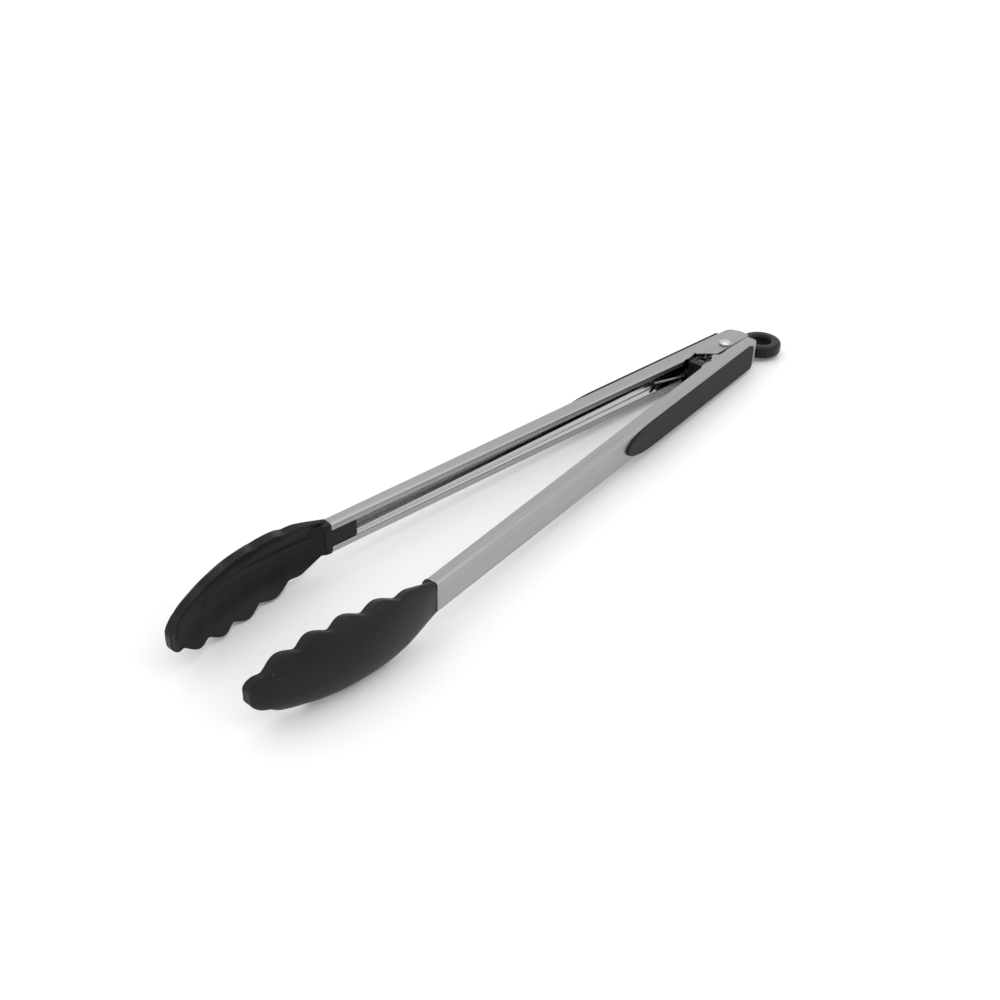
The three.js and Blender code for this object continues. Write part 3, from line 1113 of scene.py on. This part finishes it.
@dataclass
class Grip:
    """Soft insert on the outside of a web, with a shadow groove round its foot."""

    side: Side
    back: float = -9.5
    front: float = 113.0
    half: float = 6.7
    corner: float = 2.5
    nose: float = 24.0
    foot: float = 10.7
    top: float = 12.15
    groove: float = 0.32
    groove_height: float = 0.3
    crown_round: float = 0.5
    crown_inset: float = 0.55
    pitch: float = 6.0
    marks: int = 14
    corner_steps: int = 8
    nose_steps: int = 28

    def outline(self) -> list[Flat]:
        """The outline in X and Z, with a rounded hinge end and a long rounded nose."""
        upper: list[Flat] = []
        for i in range(self.corner_steps + 1):
            turn = math.pi / 2 * i / self.corner_steps
            upper.append((self.back + self.corner * (1 - math.cos(turn)),
                          self.half - self.corner * (1 - math.sin(turn))))
        nose_start = self.front - self.nose
        for k in range(1, self.marks + 1):
            upper.append((self.back + self.corner + self.pitch * k, self.half))
        for i in range(self.nose_steps + 1):
            turn = math.pi / 2 * i / self.nose_steps
            upper.append((nose_start + self.nose * math.sin(turn), self.half * math.cos(turn)))
        lower = [(x, -z) for x, z in reversed(upper) if z > 1e-6]
        return upper + lower

    @staticmethod
    def inset(outline: Sequence[Flat], depth: float) -> list[Flat]:
        """The outline moved inward.

        Args:
            outline: a closed outline, in order.
            depth: how far inward.

        Returns:
            The moved outline, point for point.
        """
        moved = []
        count = len(outline)
        for i, (x, z) in enumerate(outline):
            back, ahead = Vector(outline[i - 1]), Vector(outline[(i + 1) % count])
            along = (ahead - back).normalized()
            moved.append((x + along.y * depth, z - along.x * depth))
        return moved

    def build(self) -> bpy.types.Object:
        """Builds the insert in the arm's own frame."""
        outline = self.outline()
        over_groove = self.foot + self.groove_height
        under_crown = self.top - self.crown_round
        layers = [(self.foot, self.groove), (over_groove, self.groove), (over_groove + 0.06, 0.06),
                  (over_groove + 0.16, 0.0), (under_crown, 0.0)]
        for turn in (22, 45, 67, 90):
            t = math.radians(turn)
            layers.append((under_crown + self.crown_round * math.sin(t),
                           self.crown_inset * (1 - math.cos(t))))
        rings = []
        for y, depth in layers:
            rings.append([(x, y, z) for x, z in self.inset(outline, depth)])
        obj = loft(f"{self.side.word}_soft_grip", rings, self.side.value)
        smooth(obj, 40)
        return obj

    def dress(self, palette: Palette) -> bpy.types.Object:
        """Builds the insert, finishes it and puts it on its arm."""
        return fit(
            self.build(), arm_frame(self.side), f"{self.side.word}_arm",
            [f"{self.side.word}_grip"], [palette.grip],
        )


@dataclass
class Head:
    """Scalloped nylon cup with a spine inside, a collar and a tongue in the channel's mouth."""

    side: Side
    start: float = 250.3
    tip: float = 334.0
    wall: float = 2.6
    rim_wall: float = 4.8
    rim_start_wall: float = 2.4
    rim_grown: float = 275.0
    draft: float = 0.8
    fullness: float = 0.94
    crown_power: float = 2.2
    edge_round: float = 0.7
    tip_round: float = 1.0
    lobe_depth: float = 1.7
    lobe_soft: float = 0.2
    fade_start: float = 260.0
    fade_end: float = 268.0
    fill_start: float = 325.0
    fill_end: float = 333.0
    collar_length: float = 10.5
    collar_half: float = 7.05
    tongue_back: float = 237.0
    tongue_front: float = 3.0
    tongue_outer: float = 9.55
    tongue_ease: float = 0.35
    spine_end: float = 323.0
    spine_half: Flat = (1.7, 0.8)
    spine_rise: Flat = (2.0, 0.6)
    notches: tuple[float, ...] = (240.0, 255.2, 271.2, 287.2, 301.5, 314.7, 327.5, 340.0)
    half_row: tuple[Flat, ...] = (
        (250, 7.6), (256, 9.6), (262, 11.4), (270, 13.5), (280, 15.1), (292, 15.9),
        (303, 15.7), (313, 14.3), (322, 11.9), (329, 8.8), (332, 6.2), (334, 3.4),
    )
    back_row: tuple[Flat, ...] = (
        (250, 10.6), (262, 12.3), (280, 12.9), (297, 10.9), (313, 6.3), (326, 0.6), (334, -4.2),
    )
    rim_row: tuple[Flat, ...] = (
        (250, 7.6), (262, 6.0), (272, 4.2), (286, 1.6), (295, -0.3), (304, -2.4), (318, -6.0),
        (334, -9.4),
    )

    def half_height(self, x: float) -> float:
        """Half height of the scalloped edge at a place along the head."""
        place = next(i for i, notch in enumerate(self.notches) if notch > x)
        before, after = self.notches[place - 1 : place + 1]
        swing = math.sin(math.pi * (x - before) / (after - before))
        soft = self.lobe_soft
        wave = (math.sqrt(swing * swing + soft * soft) - soft) / (math.sqrt(1 + soft * soft) - soft)
        fade = smoothstep(x, self.fade_start, self.fade_end)
        return hermite(self.half_row, x) - self.lobe_depth * (1 - wave) * fade

    def rim(self, x: float) -> float:
        """Thickness of the rim, which grows from the collar forward."""
        share = smoothstep(x, self.start, self.rim_grown)
        return self.rim_start_wall + (self.rim_wall - self.rim_start_wall) * share

    def skin(self, x: float, z: float) -> float:
        """Y of the smooth outer skin at a height above its crown."""
        across = min(abs(z) / hermite(self.half_row, x), 1.0)
        turned_down = 1 - math.sqrt(1 - (self.fullness * across) ** self.crown_power)
        at_edge = 1 - math.sqrt(1 - self.fullness**self.crown_power)
        back = hermite(self.back_row, x)
        drop = back - hermite(self.rim_row, x) - self.rim(x)
        return back - drop * turned_down / at_edge

    def section(self, x: float, shrink: float) -> list[Point]:
        """One closed section of the cup with rounded edges.

        Args:
            x: place along the head.
            shrink: how far every face is drawn in, to round the tip.

        Returns:
            The section's points, outer skin first.
        """
        half = self.half_height(x) - shrink
        across = 30
        shares = [math.sin(math.pi / 2 * (2 * i / across - 1)) for i in range(across + 1)]
        outer = [(half * a, self.skin(x, half * a) - shrink) for a in shares]
        inner = []
        for a in reversed(shares):
            z = (half - self.draft) * a
            filled = max(a * a, smoothstep(x, self.fill_start, self.fill_end))
            wall = self.wall + (self.rim(x) - self.wall) * filled
            inner.append((z, self.skin(x, z) - wall + shrink))
        loop = []
        reach = min(self.edge_round, 0.45 * (self.wall - 2 * shrink))
        for row, other in ((outer, inner), (inner, outer)):
            trimmed = self.cut_back(row, reach)
            trimmed = self.cut_back(list(reversed(trimmed)), reach)
            trimmed.reverse()
            loop += corner(other[-1], row[0], trimmed[0], reach)
            loop += trimmed[1:-1]
            loop += corner(trimmed[-1], row[-1], other[0], reach)
        return [(x, y, z) for z, y in loop]

    @staticmethod
    def cut_back(row: list[Flat], reach: float) -> list[Flat]:
        """A row of points whose first stretch of a given length is taken off, evenly respaced."""
        steps = len(row)
        lengths = [0.0]
        for a, b in zip(row, row[1:]):
            lengths.append(lengths[-1] + math.dist(a, b))
        kept = []
        for i in range(steps):
            want = reach + (lengths[-1] - reach) * lengths[i] / lengths[-1]
            k = 0
            while k < steps - 2 and lengths[k + 1] < want:
                k += 1
            t = (want - lengths[k]) / max(lengths[k + 1] - lengths[k], 1e-9)
            kept.append((row[k][0] + (row[k + 1][0] - row[k][0]) * t,
                         row[k][1] + (row[k + 1][1] - row[k][1]) * t))
        return kept

    def cup(self) -> bpy.types.Object:
        """The scalloped cup."""
        stations = []
        count = 132
        for i in range(count + 1):
            x = self.start + (self.tip - self.tip_round - self.start) * i / count
            stations.append((x, 0.0))
        for turn in (18, 36, 54, 70, 82):
            t = math.radians(turn)
            stations.append((self.tip - self.tip_round * (1 - math.sin(t)),
                             self.tip_round * (1 - math.cos(t))))
        rings = [self.section(x, shrink) for x, shrink in stations]
        return loft(f"{self.side.word}_nylon_head", rings, self.side.value)

    def collar(self) -> bpy.types.Object:
        """The collar that meets the channel's end."""
        s = self.start
        front = s + self.collar_length
        outline = [(s, 5.2), (s + 2.2, 5.4), (front, 9.7), (front, 10.3), (s, 10.15)]
        return prism("collar", outline, -self.collar_half, self.collar_half, self.side.value)

    def tongue(self, low: float, half: float) -> bpy.types.Object:
        """The tongue that fills the channel's mouth, between its lips or behind them."""
        front = self.start + self.tongue_front
        obj = block("tongue", (self.tongue_back, low, -half), (front, self.tongue_outer, half),
                    self.side.value)
        ease(obj, self.tongue_ease)
        return obj

    def spine(self) -> bpy.types.Object:
        """The rounded spine on the inside of the cup, fading out before the tip."""
        rings = []
        stations = 34
        first, last = self.start + 0.6, self.spine_end
        for i in range(stations + 1):
            share = i / stations
            x = first + (last - first) * share
            back = hermite(self.back_row, x) - self.wall
            rise = self.spine_rise[0] * (1 - share) + self.spine_rise[1] * share
            rise *= 1 - smoothstep(share, 0.8, 1.0) * 0.95
            crest = min(back - rise, back - 0.05)
            wide = self.spine_half[0] + (self.spine_half[1] - self.spine_half[0]) * share
            root = back + self.wall * 0.5
            side_row = [(-wide - 0.9, root), (-wide - 0.55, back - 0.1), (-wide, back - rise * 0.55),
                        (-wide * 0.6, crest + rise * 0.1), (-wide * 0.38, crest)]
            row = side_row + [(0.0, crest - 0.02)] + [(-z, y) for z, y in reversed(side_row)]
            rings.append([(x, y, z) for z, y in row])
        return loft("spine", rings, self.side.value)

    def build(self) -> bpy.types.Object:
        """Builds the head in the arm's own frame."""
        inside = self.collar()
        for part in (self.spine(), self.tongue(6.2, 6.05), self.tongue(5.2, 3.7)):
            combine(inside, part, Cut.JOIN)
        obj = self.cup()
        combine(obj, inside, Cut.JOIN)
        trim(obj, **FINE_TRIM)
        smooth(obj, 34)
        return obj

    def dress(self, palette: Palette) -> bpy.types.Object:
        """Builds the head, finishes it and puts it on its arm."""
        return fit(
            self.build(), arm_frame(self.side), f"{self.side.word}_arm",
            [f"{self.side.word}_head"], [palette.nylon],
        )


# ---------------------------------------------------------------- hinge


@dataclass
class HingeCore:
    """The domed rivet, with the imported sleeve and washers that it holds."""

    shank: float = 2.2
    head: float = 3.1
    seat: float = 7.35
    flat: float = 0.9
    dome: float = 0.9
    shoulder: float = 0.35
    under_ease: float = 0.15

    def rivet_profile(self) -> list[Flat]:
        """Radius and height pairs of the rivet, from its lower dome to its upper one."""
        shoulder, under = self.shoulder, self.under_ease
        top = self.seat + self.flat
        half = [(self.shank, self.seat), (self.head - under, self.seat),
                (self.head, self.seat + under), (self.head, top - shoulder)]
        for turn in (30, 60):
            t = math.radians(turn)
            half.append((self.head - shoulder * 0.5 * (1 - math.cos(t)),
                         top - shoulder * (1 - math.sin(t))))
        crown = 7
        edge = self.head - shoulder * 0.5
        for i in range(crown + 1):
            share = 1 - i / crown
            half.append((edge * share, top + self.dome * (1 - share**2)))
        lower = [(r, -z) for r, z in reversed(half)]
        return lower + half

    def dress(self, palette: Palette) -> bpy.types.Object:
        """Builds the rivet and finishes the hinge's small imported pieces."""
        obj = turned("domed_rivet", self.rivet_profile())
        smooth(obj, 50)
        for name, material in (
            ("pivot_sleeve", palette.pin),
            ("upper_washer", palette.rivet),
            ("lower_washer", palette.rivet),
        ):
            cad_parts[name].material_slots[0].material = material
        place = Matrix.Translation(pivot_point())
        return fit(obj, place, "hinge_core", ["pivot_rivet"], [palette.rivet])


@dataclass
class TorsionSpring:
    """The spring, in two halves: each is half of the coil and one leg, which lies along its arm."""

    radius: float = 0.7
    coil: float = 4.9
    turns: float = 2.5
    low: float = -1.1
    high: float = 3.1
    bend_x: float = 27.0
    bend_y: float = 6.6
    end_x: float = 43.0
    end_y: float = 12.3
    leave_x: float = 5.0
    low_mid: float = -2.5
    low_end: float = -3.3
    bend_end: float = 26.0
    middle_out: float = 0.7
    leave_out: float = 0.2

    def half_path(self, side: Side) -> list[Vector]:
        """The wire's middle from a leg's end to the middle of the coil.

        Args:
            side: whose leg it is.

        Returns:
            Points along the wire.
        """
        s = side.value
        left = side is Side.LEFT
        z = self.high if left else self.low
        mid_z = z if left else self.low_mid
        end_z = z if left else self.low_end
        knots = [
            Vector((self.end_x, s * self.end_y, end_z)),
            Vector((self.bend_x, s * self.bend_y, end_z)),
            Vector((self.bend_x / 2, s * (self.coil + self.middle_out), mid_z)),
            Vector((self.leave_x, s * (self.coil + self.leave_out), z)),
        ]
        steps = 20
        for i in range(steps + 1):
            share = i / steps / 2
            turn = s * (math.pi / 2 + 2 * math.pi * self.turns * share)
            height = z + (self.low - self.high) * share * s
            knots.append(Vector((self.coil * math.cos(turn), self.coil * math.sin(turn), height)))
        return through(knots, 5)

    def dress(self, palette: Palette) -> list[bpy.types.Object]:
        """Builds both halves and places each about the pivot."""
        pivot = pivot_point()
        halves = []
        for side in Side:
            path = self.half_path(side)
            obj = sweep(f"{side.word}_spring_half", path, self.radius)
            smooth(obj, 60)
            obj.data.materials.append(palette.wire)
            obj.matrix_world = Matrix.Translation(pivot)
            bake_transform(obj)
            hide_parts("torsion_spring")
            log.info("%s between hinge_core and %s_arm", obj.name, side.word)
            halves.append(obj)
        return halves


# ---------------------------------------------------------------- lock and ring


@dataclass
class LockUnit:
    """The lock slide between the arms, its cross pin and the tail that holds the ring."""

    low: float = -4.3
    high: float = -2.2
    half: float = 4.0
    front: float = 27.0
    block_back: float = 18.0
    block_top: float = 5.95
    slot_back: float = -3.0
    slot_front: float = 9.0
    slot_half: float = 2.6
    wing_half: float = 8.0
    tail_half: float = 3.2
    tail_x: float = -21.0
    pin_x: float = 21.0
    pin_z: float = 4.1
    pin_radius: float = 1.4
    pin_half: float = 3.4
    window: float = 2.2
    window_floor: float = 2.6
    window_half: float = 2.0
    plate_back: float = -4.0
    wing_front: float = 4.0
    tail_front: float = -3.0
    eye: float = 1.5
    edge_ease: float = 0.2

    def slide(self) -> bpy.types.Object:
        """The slotted slide."""
        obj = block("lock_slide_body", (self.plate_back, -self.half, self.low),
                    (self.front, self.half, self.high))
        wings = block("wings", (self.plate_back, -self.wing_half, self.low),
                      (self.wing_front, self.wing_half, self.high))
        nose = block("nose", (self.block_back, -self.half, self.low),
                     (self.front, self.half, self.block_top))
        tail = block("tail", (self.tail_x, -self.tail_half, self.low),
                     (self.tail_front, self.tail_half, self.high))
        knuckle = post("knuckle", (self.tail_x, 0), self.tail_half, self.low, self.high)
        for part in (wings, nose, tail, knuckle):
            combine(obj, part, Cut.JOIN)
        slot = block("slot", (self.slot_back, -self.slot_half, self.low - 1),
                     (self.slot_front, self.slot_half, self.high + 1))
        eye = post("eye", (self.tail_x, 0), self.eye, self.low - 1, self.high + 1)
        window = block("window", (self.pin_x - self.window, -self.window_half, self.window_floor),
                       (self.pin_x + self.window, self.window_half, self.block_top + 1))
        bore = self.cross_post("bore", self.pin_radius + 0.3, self.pin_half + 1)
        for part in (slot, eye, window, bore):
            combine(obj, part, Cut.TAKE_AWAY)
        trim(obj)
        ease(obj, self.edge_ease)
        smooth(obj)
        return obj

    def cross_post(self, name: str, radius: float, half: float) -> bpy.types.Object:
        """A round pin across the slide."""
        e = self.edge_ease
        profile = [(0, -half), (radius - e, -half), (radius, -half + e),
                   (radius, half - e), (radius - e, half), (0, half)]
        obj = turned(name, profile, 36)
        lay = Matrix.Rotation(math.pi / 2, 4, "X")
        shift = Matrix.Translation(Vector((self.pin_x, 0, self.pin_z)) * MM)
        obj.data.transform(shift @ lay)
        return obj

    def dress(self, palette: Palette) -> list[bpy.types.Object]:
        """Builds the slide and its pin and puts both on the lock."""
        place = Matrix.Translation(pivot_point())
        pin = self.cross_post("cross_pin", self.pin_radius, self.pin_half)
        smooth(pin, 50)
        return [
            fit(self.slide(), place, "lock", ["lock_slide"], [palette.lock]),
            fit(pin, place, "lock", ["lock_cross_pin"], [palette.pin]),
        ]


@dataclass
class PullRing:
    """The chunky ring behind the hinge, with two lugs round the lock's tail."""

    skew: float = math.radians(-16)
    tail_x: float = -21.0
    reach: float = 11.0
    outer: float = 10.8
    inner: float = 5.2
    low: float = -7.0
    high: float = -0.5
    easing: float = 1.9
    lug: float = 3.7
    lug_low: float = -6.0
    gap: float = 4.5
    gap_low: float = -4.6
    gap_high: float = -1.9
    neck_back: float = 6.4
    neck_ease: float = 0.4
    pin: float = 1.3

    def loop(self) -> bpy.types.Object:
        """The round loop with softly rounded edges."""
        e = self.easing
        corners = [
            ((self.outer - e, self.high - e), 90, 0),
            ((self.outer - e, self.low + e), 0, -90),
            ((self.inner + e, self.low + e), -90, -180),
            ((self.inner + e, self.high - e), 180, 90),
        ]
        profile: list[Flat] = []
        for centre, start, end in corners:
            profile += arc(centre, e, start, end, 7)
        return turned("pull_loop", profile, 96, (-self.reach, 0))

    def build(self) -> bpy.types.Object:
        """Builds the ring about its own pin."""
        obj = self.loop()
        neck = block("neck", (self.neck_back - self.reach, -self.lug, self.lug_low),
                     (0, self.lug, self.high))
        round_end = post("lug", (0, 0), self.lug, self.lug_low, self.high)
        combine(neck, round_end, Cut.JOIN)
        trim(neck)
        ease(neck, self.neck_ease, 3)
        slot = post("slot", (0, 0), self.gap, self.gap_low, self.gap_high)
        combine(neck, slot, Cut.TAKE_AWAY)
        eye = post("eye", (0, 0), self.pin, self.low - 1, self.high + 1)
        combine(neck, eye, Cut.TAKE_AWAY)
        # The loop is joined after the cuts, so its band fills part of the slot and the eye again.
        combine(obj, neck, Cut.JOIN)
        trim(obj, **FINE_TRIM)
        smooth(obj, 40)
        return obj

    def dress(self, palette: Palette) -> bpy.types.Object:
        """Builds the ring, finishes its pin and puts it on its body."""
        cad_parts["ring_pin"].material_slots[0].material = palette.rivet
        place = (
            Matrix.Translation(pivot_point() + Vector((self.tail_x * MM, 0, 0)))
            @ Matrix.Rotation(self.skew, 4, "Z")
        )
        return fit(self.build(), place, "ring", ["pull_ring"], [palette.lock])


# ---------------------------------------------------------------- stage


@dataclass(frozen=True)
class SoftLight:
    """A square soft light that faces the middle of the table."""

    name: str
    at: Point
    size: float
    power: float

    def place(self) -> bpy.types.Object:
        """Places the light, whose size is in metres and power in watts."""
        data = bpy.data.lights.new(self.name, "AREA")
        data.shape = "SQUARE"
        data.size = self.size
        data.energy = self.power
        obj = bpy.data.objects.new(self.name, data)
        bpy.context.scene.collection.objects.link(obj)
        obj.location = self.at
        obj.rotation_mode = "QUATERNION"
        obj.rotation_quaternion = (-Vector(self.at)).to_track_quat("-Z", "Y")
        return obj


@dataclass
class Studio:
    """The table top, the lights and the camera."""

    lens: float = 46.8
    sensor: float = 36.0
    near_limit: float = 0.01
    camera_from_pivot: Point = (0.53348, 0.30398, 0.30534)
    camera_tilt: float = math.radians(56.583)
    camera_roll: float = math.radians(-1.321)
    camera_heading: float = math.radians(131.189)
    floor_slope: float = 0.0230
    floor_drop: float = 9.16
    floor_reach: float = 4.0
    lights: tuple[SoftLight, ...] = (
        SoftLight("overhead_soft_light", (0.0, 0.1, 1.3), 1.5, 4.0),
        SoftLight("side_soft_light", (-0.7, 1.0, 0.8), 0.8, 1.5),
    )

    def camera(self) -> bpy.types.Object:
        """Places the camera."""
        data = bpy.data.cameras.new("camera")
        data.lens = self.lens
        data.sensor_width = self.sensor
        data.clip_start = self.near_limit
        obj = bpy.data.objects.new("camera", data)
        bpy.context.scene.collection.objects.link(obj)
        angles = Euler((self.camera_tilt, self.camera_roll, self.camera_heading))
        turn = angles.to_matrix().to_4x4()
        at = pivot_point() + Vector(self.camera_from_pivot)
        obj.matrix_world = Matrix.Translation(at) @ turn
        bpy.context.scene.camera = obj
        return obj

    def floor(self) -> bpy.types.Object:
        """The table top that the tongs rest on."""
        pivot = pivot_point()
        reach = self.floor_reach
        points = []
        for x, y in ((-reach, -reach), (reach, -reach), (reach, reach), (-reach, reach)):
            z = pivot.z - self.floor_drop * MM - self.floor_slope * (x - pivot.x)
            points.append((x / MM, y / MM, z / MM))
        obj = mesh_object("table_top", points, [(0, 1, 2, 3)])
        if obj.data.polygons[0].normal.z < 0:
            obj.data.flip_normals()
        obj.data.materials.append(PaleFloor().make())
        return obj

    def world(self) -> None:
        """A soft even surround."""
        world = bpy.data.worlds.new("surround")
        world.use_nodes = True
        w = Wiring(world.node_tree)
        background = w.add("Background", {"Color": (1.0, 1.0, 1.0, 1.0), "Strength": 1.0})
        output = w.add("OutputWorld")
        w.link(background.outputs[0], output.inputs["Surface"])
        bpy.context.scene.world = world

    def build(self) -> None:
        """Sets the whole stage."""
        self.camera()
        self.floor()
        self.world()
        for light in self.lights:
            light.place()
        bpy.context.scene.view_settings.view_transform = "Standard"
        log.info("stage is set")


def main() -> None:
    """Builds the tongs and their stage."""
    logging.basicConfig(level=logging.INFO, format="%(name)s: %(message)s")
    palette = Palette(Effects())
    Studio().build()
    for side in Side:
        ArmChannel(side).dress(palette)
        Grip(side).dress(palette)
        Head(side).dress(palette)
    HingeCore().dress(palette)
    TorsionSpring().dress(palette)
    LockUnit().dress(palette)
    PullRing().dress(palette)


if __name__ == "__main__":
    main()
